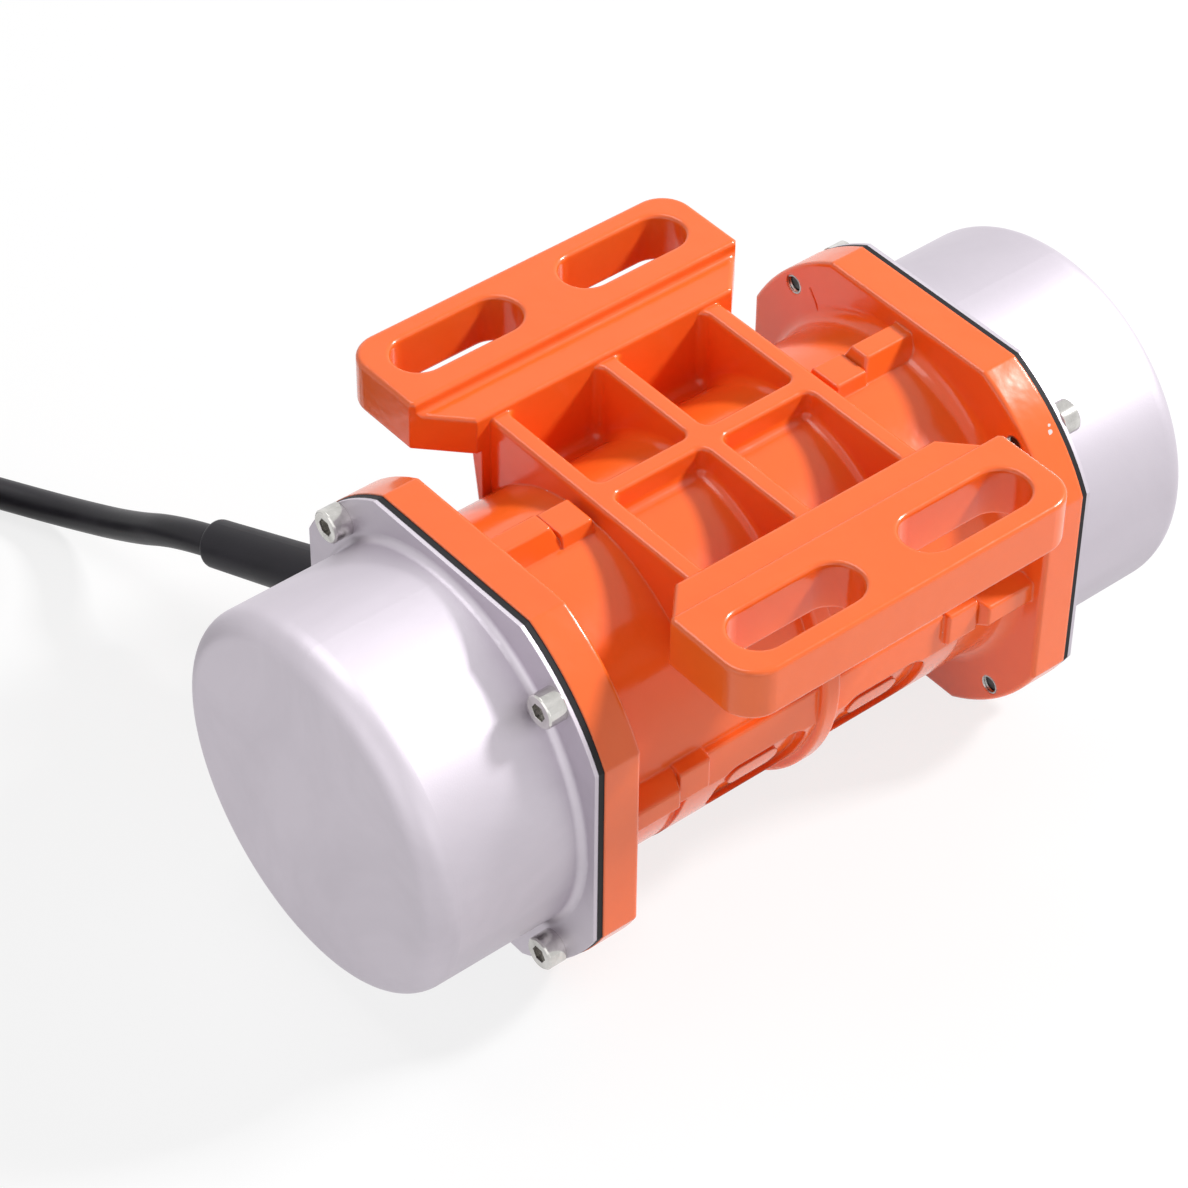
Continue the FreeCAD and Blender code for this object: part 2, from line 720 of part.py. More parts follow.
def ballCage():
    half = ballDiameter / 2 + cageRim
    cage = axialCylinder(ballPitchRadius + cageHalfThick, ballCentreX() - half, ballCentreX() + half)
    inside = ballPitchRadius - cageHalfThick
    cage = cage.cut(axialCylinder(inside, bearingInnerX, bearingInnerX + bearingWidth))
    for place in ballPlaces():
        cage = cage.cut(Part.makeSphere(ballDiameter / 2 + ballGap, place))
    return cage


def snapRing(x0, thick, inner, outer, opening, up):
    """An open retaining ring with its gap at the top or at the bottom."""
    solid = axialCylinder(outer, x0, x0 + thick).cut(axialCylinder(inner, x0 - 1, x0 + thick + 1))
    low, high = (0, outer + 1) if up else (-outer - 1, 0)
    return solid.cut(box(x0 - 1, x0 + thick + 1, -opening / 2, opening / 2, low, high))


def preloadWasher():
    x0 = bearingInnerX - washerThick
    solid = axialCylinder(bearingOutside / 2 - washerEdgeGap, x0, bearingInnerX)
    return solid.cut(axialCylinder(ballPitchRadius + ringLand, x0 - 1, bearingInnerX + 1))


def stackRadius():
    return skinRadius - wallAtStator - seatGap


def statorCore():
    solid = axialCylinder(stackRadius(), -stackHalf, stackHalf)
    solid = solid.cut(axialCylinder(statorBore / 2, -stackHalf - 1, stackHalf + 1))
    for cutter in slotShapes(0):
        solid = solid.cut(cutter)
    return solid


def slotShapes(lining):
    """The stator slots, or the bundles of wire that fill them when a lining is left round them."""
    shapes = []
    reach = stackHalf + 1
    for i in range(statorSlots):
        half0 = slotInnerWidth / 2 - lining
        half1 = slotOuterWidth / 2 - lining
        r0 = statorBore / 2 + slotTip + lining
        r1 = stackRadius() - statorYoke - lining
        outline = [(-half0, r0), (half0, r0), (half1, r1 - slotCorner), (half1 - slotCorner, r1),
                   (slotCorner - half1, r1), (-half1, r1 - slotCorner)]
        shape = prismX(outline, -reach, reach)
        if lining == 0:
            mouth = box(-reach, reach, -slotMouth / 2, slotMouth / 2, statorBore / 2 - 1, r0 + 1)
            shape = shape.fuse(mouth).removeSplitter()
        shape.rotate(Vector(0, 0, 0), Vector(1, 0, 0), 360 / statorSlots * (i + 0.5))
        shapes.append(shape)
    return shapes


def statorWinding():
    """The coils: bundles through the slots, joined by the end turns."""
    start = stackHalf + slotLining
    end = start + windingLength
    inmost = statorBore / 2 + windingTip
    outmost = stackRadius() - windingEdge
    inner = inmost + windingTaper
    outer = outmost - windingTaper
    turns = []
    for side in (-1, 1):
        outline = [(start, inner), (start + windingRound, inmost), (end - windingRound, inner),
                   (end, inner + windingRound), (end, outer - windingRound), (end - windingRound, outer),
                   (start + windingRound, outmost), (start, outer)]
        turns.append(toSide(turned(outline), side))
    return turns[0].multiFuse([turns[1]] + slotShapes(slotLining)).removeSplitter()


def rotorRadius():
    return statorBore / 2 - airGap


def barShapes(reach):
    shapes = []
    circle = rotorRadius() - barDepth
    for i in range(rotorBars):
        turn = 2 * math.pi * i / rotorBars
        place = Vector(-reach, circle * math.sin(turn), circle * math.cos(turn))
        shapes.append(Part.makeCylinder(barDiameter / 2, 2 * reach, place, Vector(1, 0, 0)))
    return shapes


def rotorCore():
    solid = axialCylinder(rotorRadius(), -stackHalf, stackHalf)
    solid = solid.cut(axialCylinder(shaftCoreRadius + seatGap, -stackHalf - 1, stackHalf + 1))
    for bar in barShapes(stackHalf + 1):
        solid = solid.cut(bar)
    return solid


def rotorCage():
    """The cast cage: bars through the core, joined by a short-circuit ring at each end."""
    rings = []
    inner = shaftCoreRadius + endRingWall
    outer = rotorRadius() - endRingEdge
    end = stackHalf + endRingLength
    for side in (-1, 1):
        outline = [(stackHalf, inner), (stackHalf, outer), (end, outer - endRingDraft),
                   (end, inner + endRingDraft)]
        rings.append(toSide(turned(outline), side))
    return rings[0].multiFuse([rings[1]] + barShapes(stackHalf + 1)).removeSplitter()


def clipX():
    return weightStartX + 2 * weightThick + weightSpacing + weightClipSpace


def shaftEndX():
    return clipX() + weightClipThick + shaftTail


def shaft():
    seat = bearingBore / 2
    end = shaftEndX()
    bottom = shaftEndRadius - weightClipDepth
    groove = (clipX() - clipGap, clipX() + weightClipThick + clipGap)
    half = [(bearingInnerX, shaftCoreRadius), (bearingInnerX, seat), (weightStartX, seat),
            (weightStartX, shaftEndRadius), (groove[0], shaftEndRadius), (groove[0], bottom),
            (groove[1], bottom), (groove[1], shaftEndRadius), (end - shaftChamfer, shaftEndRadius),
            (end, shaftEndRadius - shaftChamfer)]
    outline = half + [(end, 0), (-end, 0)] + [(-x, radius) for x, radius in reversed(half)]
    solid = turned(outline)
    for side in (-1, 1):
        solid = solid.cut(toSide(keyShape(0), side))
    return solid


def keyShape(gap):
    top = shaftEndRadius - keyDepth + keyHeight
    return box(weightStartX + keyEndGap + gap, weightStartX + weightThick - keyEndGap - gap,
               -keyWidth / 2 + gap, keyWidth / 2 - gap, shaftEndRadius - keyDepth + gap, top - gap)


def weightOutline(x0):
    """The heavy side of a weight: a sector that hangs below the shaft."""
    spread = math.radians(weightSpread)
    tip = (weightRadius * math.sin(spread), -weightRadius * math.cos(spread))

    def at(y, z):
        return Vector(x0, y, z)

    edges = [Part.LineSegment(at(-tip[0], tip[1]), at(0, 0)).toShape(),
             Part.LineSegment(at(0, 0), at(*tip)).toShape(),
             Part.Arc(at(*tip), at(0, -weightRadius), at(-tip[0], tip[1])).toShape()]
    return Part.Wire(edges)


def weightBlank(x0, blockHalf, blockTop):
    sector = Part.Face(weightOutline(x0)).extrude(Vector(weightThick, 0, 0))
    corners = [edge for edge in sector.Edges
               if edge.BoundBox.YLength < 1e-6 and abs(edge.BoundBox.YMin) > weightHubRadius]
    sector = sector.makeFillet(weightCorner, corners)
    hub = axialCylinder(weightHubRadius, x0, x0 + weightThick)
    block = box(x0, x0 + weightThick, -blockHalf, blockHalf, 0, blockTop)
    blank = sector.multiFuse([hub, block]).removeSplitter()
    return blank.cut(axialCylinder(shaftEndRadius + weightBoreGap, x0 - 1, x0 + weightThick + 1))


def innerWeight():
    top = weightHubRadius + innerWeightBlockRise
    solid = weightBlank(weightStartX, innerWeightBlockHalf, top)
    half = keyWidth / 2 + seatGap
    keyway = box(weightStartX - 1, weightStartX + weightThick + 1, -half, half, 0,
                 shaftEndRadius - keyDepth + keyHeight)
    middle = Vector(weightStartX + weightThick / 2, 0, 0)
    return solid.cut(keyway).cut(Part.makeCylinder(tapped(clampScrew), top + 1, middle))


def grubScrew():
    bottom = shaftEndRadius - keyDepth + keyHeight
    middle = weightStartX + weightThick / 2
    screw = Part.makeCylinder(clampScrew[0] / 2, grubLength, Vector(middle, 0, bottom))
    socket = hexPrism(grubKey, 0, grubKeyDepth)
    socket.rotate(Vector(0, 0, 0), Vector(0, 1, 0), 90)
    socket.translate(Vector(middle, 0, bottom + grubLength))
    return screw.cut(socket)


def outerWeightX():
    return weightStartX + weightThick + weightSpacing


def outerWeight():
    x0 = outerWeightX()
    middle = x0 + weightThick / 2
    top = clampScrewHeight + clampBlockRise
    solid = weightBlank(x0, clampBlockHalf, top)
    solid = solid.cut(box(x0 - 1, x0 + weightThick + 1, -clampSlit / 2, clampSlit / 2, 0, top + 1))
    through = Part.makeCylinder(plain(clampScrew), clampBlockHalf + 1,
                                Vector(middle, -clampBlockHalf - 1, clampScrewHeight), Vector(0, 1, 0))
    thread = Part.makeCylinder(tapped(clampScrew), clampBlockHalf + 1,
                               Vector(middle, 0, clampScrewHeight), Vector(0, 1, 0))
    return solid.cut(through).cut(thread)


def clampBolt():
    screw = socketScrew(clampScrew, clampScrewLength)
    screw.rotate(Vector(0, 0, 0), Vector(0, 0, 1), -90)
    screw.translate(Vector(outerWeightX() + weightThick / 2, -clampBlockHalf, clampScrewHeight))
    return screw


def spacer():
    x0 = bearingInnerX + bearingWidth
    solid = axialCylinder(ballPitchRadius - ringLand, x0, weightStartX)
    return solid.cut(axialCylinder(bearingBore / 2 + seatGap, x0 - 1, weightStartX + 1))


def unit(vector):
    return Vector(vector).normalize()


def routeWire(points, bendRadius=None):
    """Straight runs joined by tangent arcs, and the radius of each arc."""
    points = [Vector(*point) for point in points]
    edges = []
    radii = []
    start = points[0]
    for before, corner, after in zip(points, points[1:], points[2:]):
        arriving = unit(corner - before)
        leaving = unit(after - corner)
        half = arriving.getAngle(leaving) / 2
        shorter = min((corner - before).Length, (after - corner).Length)
        radius = bendRadius or 0.45 * shorter / math.tan(half)
        reach = radius * math.tan(half)
        arcStart = corner - arriving * reach
        arcEnd = corner + leaving * reach
        inward = unit(leaving - arriving)
        middle = corner + inward * (radius / math.cos(half) - radius)
        edges.append(Part.LineSegment(start, arcStart).toShape())
        edges.append(Part.Arc(arcStart, middle, arcEnd).toShape())
        radii.append(radius)
        start = arcEnd
    edges.append(Part.LineSegment(start, points[-1]).toShape())
    return Part.Wire(edges), radii


def sweptTube(wire, radius):
    first = wire.Edges[0]
    start = first.valueAt(first.FirstParameter)
    along = first.tangentAt(first.FirstParameter)
    section = Part.Wire(Part.makeCircle(radius, start, along))
    return wire.makePipeShell([section], True, False)


def cable():
    wire, radii = routeWire(cableRoute)
    tube = sweptTube(wire, cableDiameter / 2)
    expected = math.pi * cableDiameter ** 2 / 4 * wire.Length
    print("cable length", round(wire.Length, 1), "radii", [round(radius) for radius in radii],
          "volume ratio", round(tube.Volume / expected, 4))
    return tube


def coilCentre():
    """The coil lies to the left of the cable's last run, which meets its outer turn."""
    end = Vector(*cableRoute[-1])
    along = unit(end - Vector(*cableRoute[-2]))
    left = Vector(-along.y, along.x, 0)
    return end + left * coilOuterTurn(), math.atan2(-left.y, -left.x)


def coilOuterTurn():
    return coilMeanRadius + cableDiameter * (coilColumns - 1) / 2


def topTurnHeight():
    """Centre height, above the floor, of the loose end that lies between two turns below it."""
    return floorLevel + cableDiameter * (coilLayers - 0.5) + cableDiameter * math.sin(math.radians(60))


def cableCoil():
    centre, entry = coilCentre()
    outer = coilOuterTurn() + cableDiameter / 2
    inner = outer - coilColumns * cableDiameter
    height = coilLayers * cableDiameter
    base = Vector(centre.x, centre.y, floorLevel)
    solid = Part.makeCylinder(outer, height, base).cut(Part.makeCylinder(inner, height, base))
    rims = [edge for edge in solid.Edges if edge.BoundBox.ZLength < 1e-6]
    solid = solid.makeFillet(cableDiameter / 3, rims)
    section = Part.makeCircle(cableDiameter / 2,
                              Vector(centre.x + coilMeanRadius, centre.y, topTurnHeight()), Vector(0, 1, 0))
    loose = Part.Face(Part.Wire(section)).revolve(centre, Vector(0, 0, 1), coilLooseEnd)
    loose.rotate(centre, Vector(0, 0, 1), math.degrees(entry))
    length = 2 * math.pi * coilMeanRadius * (coilColumns * coilLayers + coilLooseEnd / 360)
    print("coil length", round(length, 1))
    return solid.fuse(loose)


def coreFrames():
    """Where each core leaves the end of the cable, and its direction."""
    centre, entry = coilCentre()
    end = entry + math.radians(coilLooseEnd)
    out = Vector(math.cos(end), math.sin(end), 0)
    along = Vector(-math.sin(end), math.cos(end), 0)
    start = Vector(centre.x, centre.y, topTurnHeight()) + out * coilMeanRadius
    frames = []
    for sideways, up, turn, climb in coreLay:
        place = start + out * sideways + Vector(0, 0, up)
        frames.append((place, unit(along + out * turn + Vector(0, 0, climb))))
    return frames


def cableCores():
    return Part.makeCompound([Part.makeCylinder(coreRadius, coreLength, place, heading)
                              for place, heading in coreFrames()])


def coreFerrules():
    ferrules = []
    for place, heading in coreFrames():
        start = place + heading * coreLength
        collar = Part.makeCylinder(ferruleCollarRadius, ferruleCollarLength, start, heading)
        pin = Part.makeCylinder(ferruleRadius, ferruleCollarLength + ferruleLength, start, heading)
        ferrules.append(collar.fuse(pin).removeSplitter())
    return Part.makeCompound(ferrules)


def cableSleeve():
    """The moulded sleeve: a plug in the housing, a collar on its boss and a bent, tapering tube."""
    root = Vector(glandX, glandBossFaceY, glandZ)
    plug = Part.makeCylinder(cableDiameter / 2 + holeGap - threadGap, sleevePlugDepth,
                             root - Vector(0, sleevePlugDepth, 0), Vector(0, 1, 0))
    collar = Part.makeCylinder(sleeveCollarRadius, sleeveCollarLength, root, Vector(0, 1, 0))
    outerRim = [edge for edge in collar.Edges if edge.BoundBox.YMin > glandBossFaceY + 1]
    collar = collar.makeFillet(sleeveCollarRound, outerRim)
    bendStart = root + Vector(0, sleeveRootLength, 0)
    wire, radii = routeWire([tuple(root), tuple(bendStart), sleeveEnd], sleeveBendRadius)
    bend = sweptTube(Part.Wire(wire.Edges[:2]), sleeveRootRadius)
    straight = wire.Edges[2]
    start = straight.valueAt(straight.FirstParameter)
    end = Vector(*sleeveEnd)
    taper = Part.makeCone(sleeveRootRadius, sleeveEndRadius, (end - start).Length, start, end - start)
    tip = [edge for edge in taper.Edges if (edge.CenterOfMass - end).Length < 0.01]
    taper = taper.makeFillet(sleeveEndRound, tip)
    return plug.multiFuse([collar, bend, taper]).removeSplitter()


def save(name, shape):
    shape = shape.copy()
    shape.translate(Vector(0, 0, -footFaceHeight))
    if not shape.isValid():
        print("not valid:", name)
    print(name, len(shape.Solids), round(shape.Volume, 1))
    shape.exportStep(os.path.join("parts", name + ".step"))


def saveEnd(name, side):
    """Everything that both ends of the motor have."""
    shoulder = bearingInnerX - (washerThick if side > 0 else 0)
    seat = bearingOutside / 2
    pieces = {
        "gasket": gasket(),
        "end_cap": endCap(),
        "cap_screws": capScrews(),
        "end_shield": endShield(shoulder),
        "shield_screws": shieldScrews(),
        "bearing_outer": bearingRing(seat, ballPitchRadius + ringLand),
        "bearing_inner": bearingRing(bearingBore / 2 + seatGap, ballPitchRadius - ringLand),
        "bearing_balls": balls(),
        "bearing_cage": ballCage(),
        "bearing_clip": snapRing(clipGrooveX() + clipGap / 2, bearingClipThick, seat - bearingClipReach,
                                 seat + bearingClipBite, bearingClipOpening, True),
        "spacer": spacer(),
        "inner_weight": innerWeight(),
        "weight_key": keyShape(seatGap),
        "grub_screw": grubScrew(),
        "outer_weight": outerWeight(),
        "clamp_bolt": clampBolt(),
        "weight_clip": snapRing(clipX(), weightClipThick, shaftEndRadius - weightClipDepth + clipGap,
                                shaftEndRadius + weightClipHeight, weightClipOpening, False),
    }
    for piece, shape in pieces.items():
        save(piece + "_" + name, toSide(shape, side))


os.makedirs("parts", exist_ok=True)
save("housing", housing())
saveEnd("left", -1)
saveEnd("right", 1)
save("preload_washer", preloadWasher())
save("stator_core", statorCore())
save("stator_winding", statorWinding())
save("shaft", shaft())
save("rotor_core", rotorCore())
save("rotor_cage", rotorCage())
save("cable_sleeve", cableSleeve())
save("cable", cable())
save("cable_coil", cableCoil())
save("cable_cores", cableCores())
save("core_ferrules", coreFerrules())
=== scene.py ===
import math

import bmesh
import bpy
from mathutils import Matrix, Vector


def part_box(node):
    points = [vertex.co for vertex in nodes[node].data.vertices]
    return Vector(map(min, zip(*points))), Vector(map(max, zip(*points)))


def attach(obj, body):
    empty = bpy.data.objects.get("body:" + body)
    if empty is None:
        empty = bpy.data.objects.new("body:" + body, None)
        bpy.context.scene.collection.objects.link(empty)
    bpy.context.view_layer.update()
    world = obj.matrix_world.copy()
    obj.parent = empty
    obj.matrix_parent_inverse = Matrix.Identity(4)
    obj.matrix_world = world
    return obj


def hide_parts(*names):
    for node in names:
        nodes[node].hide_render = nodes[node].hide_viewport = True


# Vibration motor, looks only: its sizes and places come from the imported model.
# Row frame, metres: the origin is the centre of the feet's mounting face, +X along the shaft, +Z out of that face.

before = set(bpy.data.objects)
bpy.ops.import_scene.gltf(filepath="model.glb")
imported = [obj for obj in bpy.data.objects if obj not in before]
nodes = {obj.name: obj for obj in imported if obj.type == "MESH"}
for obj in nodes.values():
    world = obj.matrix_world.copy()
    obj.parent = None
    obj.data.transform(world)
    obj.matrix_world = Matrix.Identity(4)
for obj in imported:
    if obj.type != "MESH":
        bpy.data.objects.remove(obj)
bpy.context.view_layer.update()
scene = bpy.context.scene
shaftZ = (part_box("shaft")[0].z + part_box("shaft")[1].z) / 2
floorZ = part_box("housing")[0].z


# helpers

def newObject(name, data):
    piece = bpy.data.objects.new(name, data)
    scene.collection.objects.link(piece)
    return piece


def finishMesh(name, bm, material, smoothAngle=35.0):
    # edges that turn by less than smoothAngle degrees are shaded smooth
    mesh = bpy.data.meshes.new(name)
    bm.normal_update()
    for face in bm.faces:
        face.smooth = True
    for edge in bm.edges:
        if len(edge.link_faces) == 2:
            edge.smooth = edge.calc_face_angle(0.0) < math.radians(smoothAngle)
    bm.to_mesh(mesh)
    bm.free()
    mesh.materials.append(material)
    return newObject(name, mesh)


def dress(material, *names):
    for name in names:
        mesh = nodes[name].data
        mesh.materials.clear()
        mesh.materials.append(material)


def bothEnds(*names):
    return [name + side for name in names for side in ("_left", "_right")]


# camera

cameraSizes = {
    "place": (-0.47411, -0.53134, 0.60094),
    "back": (-0.4698, -0.5655, 0.6778),   # from the motor towards the camera
    "roll": 0.58,                         # degrees
    "lens": 122.456,
    "sensor": 36.0,
    "near": 0.05,
    "far": 20.0,
}


def makeCamera(sizes):
    back = Vector(sizes["back"]).normalized()
    right = Vector((0, 0, 1)).cross(back).normalized()
    up = back.cross(right)
    roll = math.radians(sizes["roll"])
    turnedRight = right * math.cos(roll) + up * math.sin(roll)
    turnedUp = up * math.cos(roll) - right * math.sin(roll)
    data = bpy.data.cameras.new("camera")
    data.lens = sizes["lens"]
    data.sensor_width = sizes["sensor"]
    data.clip_start = sizes["near"]
    data.clip_end = sizes["far"]
    camera = newObject("camera", data)
    turn = Matrix((turnedRight, turnedUp, back)).transposed().to_4x4()
    camera.matrix_world = Matrix.Translation(sizes["place"]) @ turn
    scene.camera = camera


makeCamera(cameraSizes)
print("camera placed")


# shader node groups

def newGroup(name, inputs, outputs):
    group = bpy.data.node_groups.new(name, "ShaderNodeTree")
    for label, kind, value in inputs:
        socket = group.interface.new_socket(name=label, in_out="INPUT", socket_type=kind)
        if value is not None:
            socket.default_value = value
    for label, kind in outputs:
        group.interface.new_socket(name=label, in_out="OUTPUT", socket_type=kind)
    start = group.nodes.new("NodeGroupInput")
    end = group.nodes.new("NodeGroupOutput")
    return group, start, end


class Wiring:
    # short calls for adding and joining shader nodes
    def __init__(self, tree):
        self.tree = tree

    def add(self, kind, **settings):
        node = self.tree.nodes.new(kind)
        for key, value in settings.items():
            setattr(node, key, value)
        return node

    def join(self, source, target):
        self.tree.links.new(source, target)

    def put(self, socket, value):
        if isinstance(value, bpy.types.NodeSocket):
            self.join(value, socket)
        elif value is not None:
            socket.default_value = value

    def math(self, operation, first, second=None, clamp=False):
        node = self.add("ShaderNodeMath", operation=operation, use_clamp=clamp)
        for socket, value in zip(node.inputs, (first, second)):
            self.put(socket, value)
        return node.outputs[0]

    def noise(self, place, scale, detail=3.0, roughness=0.5, distortion=0.0):
        node = self.add("ShaderNodeTexNoise")
        self.put(node.inputs["Vector"], place)
        self.put(node.inputs["Scale"], scale)
        self.put(node.inputs["Detail"], detail)
        self.put(node.inputs["Roughness"], roughness)
        self.put(node.inputs["Distortion"], distortion)
        return node.outputs["Fac"]

    def remap(self, value, low, high, toLow=0.0, toHigh=1.0):
        node = self.add("ShaderNodeMapRange", clamp=True)
        for label, item in (("Value", value), ("From Min", low), ("From Max", high), ("To Min", toLow),
                            ("To Max", toHigh)):
            self.put(node.inputs[label], item)
        return node.outputs[0]

    def mixColor(self, factor, first, second):
        node = self.add("ShaderNodeMix", data_type="RGBA")
        self.put(node.inputs["Factor"], factor)
        self.put(node.inputs[6], first)     # the two colour sockets, A and B
        self.put(node.inputs[7], second)
        return node.outputs[2]

    def bump(self, height, strength, distance, normal=None):
        node = self.add("ShaderNodeBump")
        self.put(node.inputs["Height"], height)
        self.put(node.inputs["Strength"], strength)
        self.put(node.inputs["Distance"], distance)
        self.put(node.inputs["Normal"], normal)
        return node.outputs[0]

    def group(self, tree, **values):
        node = self.add("ShaderNodeGroup", node_tree=tree)
        for label, value in values.items():
            self.put(node.inputs[label.replace("_", " ")], value)
        return node


def grainGroup():
    # fine even relief and a broader waviness: blasted metal, moulded rubber, paint skin
    group, start, end = newGroup("surfaceGrain", [
        ("Vector", "NodeSocketVector", None), ("Scale", "NodeSocketFloat", 800.0),
        ("Waves", "NodeSocketFloat", 120.0)], [("Fine", "NodeSocketFloat"), ("Broad", "NodeSocketFloat")])
    w = Wiring(group)
    w.join(w.noise(start.outputs["Vector"], start.outputs["Scale"], 4.0, 0.6), end.inputs["Fine"])
    w.join(w.noise(start.outputs["Vector"], start.outputs["Waves"], 2.0, 0.5), end.inputs["Broad"])
    return group


smudgeSizes = {
    "detail": 5.0,
    "roughness": 0.62,
    "distortion": 0.6,
    "levels": (0.38, 0.68),    # clean below the first, fully marked above the second
}


def smudgeGroup(sizes):
    # uneven handling marks and cloudiness, used for roughness and a little colour
    group, start, end = newGroup("handlingMarks", [
        ("Vector", "NodeSocketVector", None), ("Scale", "NodeSocketFloat", 25.0)], [("Mask", "NodeSocketFloat")])
    w = Wiring(group)
    clouds = w.noise(start.outputs["Vector"], start.outputs["Scale"], sizes["detail"], sizes["roughness"],
                     sizes["distortion"])
    w.join(w.remap(clouds, *sizes["levels"]), end.inputs["Mask"])
    return group


edgeSizes = {
    "samples": 6,
    "turn": (0.995, 0.90),     # cosine at which an edge begins to count, and at which it fully does
    "level": (0.82, 0.2),      # noise level where paint chips, and how far Amount lowers it
    "help": 0.12,              # how much an edge adds to the noise
    "fade": 0.02,
}


def edgeGroup(sizes):
    # chips along sharp edges and corners, none on flat or gently curved faces
    group, start, end = newGroup("edgeWear", [
        ("Vector", "NodeSocketVector", None), ("Radius", "NodeSocketFloat", 0.0006),
        ("Break Up", "NodeSocketFloat", 220.0), ("Amount", "NodeSocketFloat", 0.5)],
        [("Chips", "NodeSocketFloat")])
    w = Wiring(group)
    rounded = w.add("ShaderNodeBevel", samples=sizes["samples"])
    w.join(start.outputs["Radius"], rounded.inputs["Radius"])
    geometry = w.add("ShaderNodeNewGeometry")
    dot = w.add("ShaderNodeVectorMath", operation="DOT_PRODUCT")
    w.join(rounded.outputs[0], dot.inputs[0])
    w.join(geometry.outputs["True Normal"], dot.inputs[1])
    mask = w.remap(dot.outputs["Value"], *sizes["turn"])
    broken = w.noise(start.outputs["Vector"], start.outputs["Break Up"], 3.0, 0.7)
    level = w.math("SUBTRACT", sizes["level"][0], w.math("MULTIPLY", start.outputs["Amount"], sizes["level"][1]))
    helped = w.math("ADD", broken, w.math("MULTIPLY", mask, sizes["help"]))
    chips = w.remap(helped, level, w.math("ADD", level, sizes["fade"]))
    w.join(w.math("MULTIPLY", chips, mask, clamp=True), end.inputs["Chips"])
    return group


grain = grainGroup()
smudges = smudgeGroup(smudgeSizes)
edges = edgeGroup(edgeSizes)


def newMaterial(name):
    material = bpy.data.materials.new(name)
    material.use_nodes = True
    tree = material.node_tree
    tree.nodes.clear()
    w = Wiring(tree)
    output = w.add("ShaderNodeOutputMaterial")
    shader = w.add("ShaderNodeBsdfPrincipled")
    w.join(shader.outputs[0], output.inputs["Surface"])
    place = w.add("ShaderNodeTexCoord").outputs["Object"]
    return material, w, shader, place


def joinRoughness(w, shader, mask, limits):
    w.join(w.remap(mask, 0.0, 1.0, *limits), shader.inputs["Roughness"])


enamelSizes = {
    "color": (0.86, 0.136, 0.018, 1.0),
    "deepColor": (0.82, 0.119, 0.015, 1.0),
    "metal": (0.62, 0.60, 0.58, 1.0),
    "edgeRadius": 0.0009,
    "edgeSamples": 8,
    "peel": 900.0,            # noise scales
    "waves": 150.0,
    "smudgeScale": 35.0,
    "deepShare": 0.5,
    "wearRadius": 0.0003,
    "wearScale": 210.0,
    "wearAmount": 0.12,
    "raggedScale": 1400.0,
    "raggedShare": 1.6,
    "chipFade": (1.75, 1.65),
    "chips": [((0.0706, -0.0427, -0.0133), 0.0007), ((0.0712, -0.0417, -0.0120), 0.0005)],    # place and reach
    "roughness": (0.17, 0.26),
    "waveBump": (0.25, 0.0006),    # strength and depth
    "peelBump": (0.12, 0.00008),
    "coat": 0.15,
    "coatRoughness": 0.05,
}


def enamelMaterial(sizes):
    # gloss enamel over a die casting
    material, w, shader, place = newMaterial("orangeEnamel")
    skin = w.group(grain, Vector=place, Scale=sizes["peel"], Waves=sizes["waves"])
    marks = w.group(smudges, Vector=place, Scale=sizes["smudgeScale"])
    worn = w.group(edges, Vector=place, Radius=sizes["wearRadius"], Break_Up=sizes["wearScale"],
                   Amount=sizes["wearAmount"])
    deep = w.math("MULTIPLY", marks.outputs["Mask"], sizes["deepShare"])
    color = w.mixColor(deep, sizes["color"], sizes["deepColor"])
    color = w.mixColor(worn.outputs["Chips"], color, sizes["metal"])
    ragged = w.math("MULTIPLY", w.noise(place, sizes["raggedScale"], 3.0, 0.7), sizes["raggedShare"])
    for spot, reach in sizes["chips"]:
        gap = w.add("ShaderNodeVectorMath", operation="DISTANCE")
        w.join(place, gap.inputs[0])
        gap.inputs[1].default_value = spot
        near = w.math("ADD", w.math("DIVIDE", gap.outputs["Value"], reach), ragged)
        color = w.mixColor(w.remap(near, *sizes["chipFade"]), color, sizes["metal"])
    w.join(color, shader.inputs["Base Color"])
    joinRoughness(w, shader, marks.outputs["Mask"], sizes["roughness"])
    rounded = w.add("ShaderNodeBevel", samples=sizes["edgeSamples"])
    rounded.inputs["Radius"].default_value = sizes["edgeRadius"]
    normal = w.bump(skin.outputs["Broad"], *sizes["waveBump"], rounded.outputs[0])
    w.join(w.bump(skin.outputs["Fine"], *sizes["peelBump"], normal), shader.inputs["Normal"])
    shader.inputs["Coat Weight"].default_value = sizes["coat"]
    shader.inputs["Coat Roughness"].default_value = sizes["coatRoughness"]
    return material


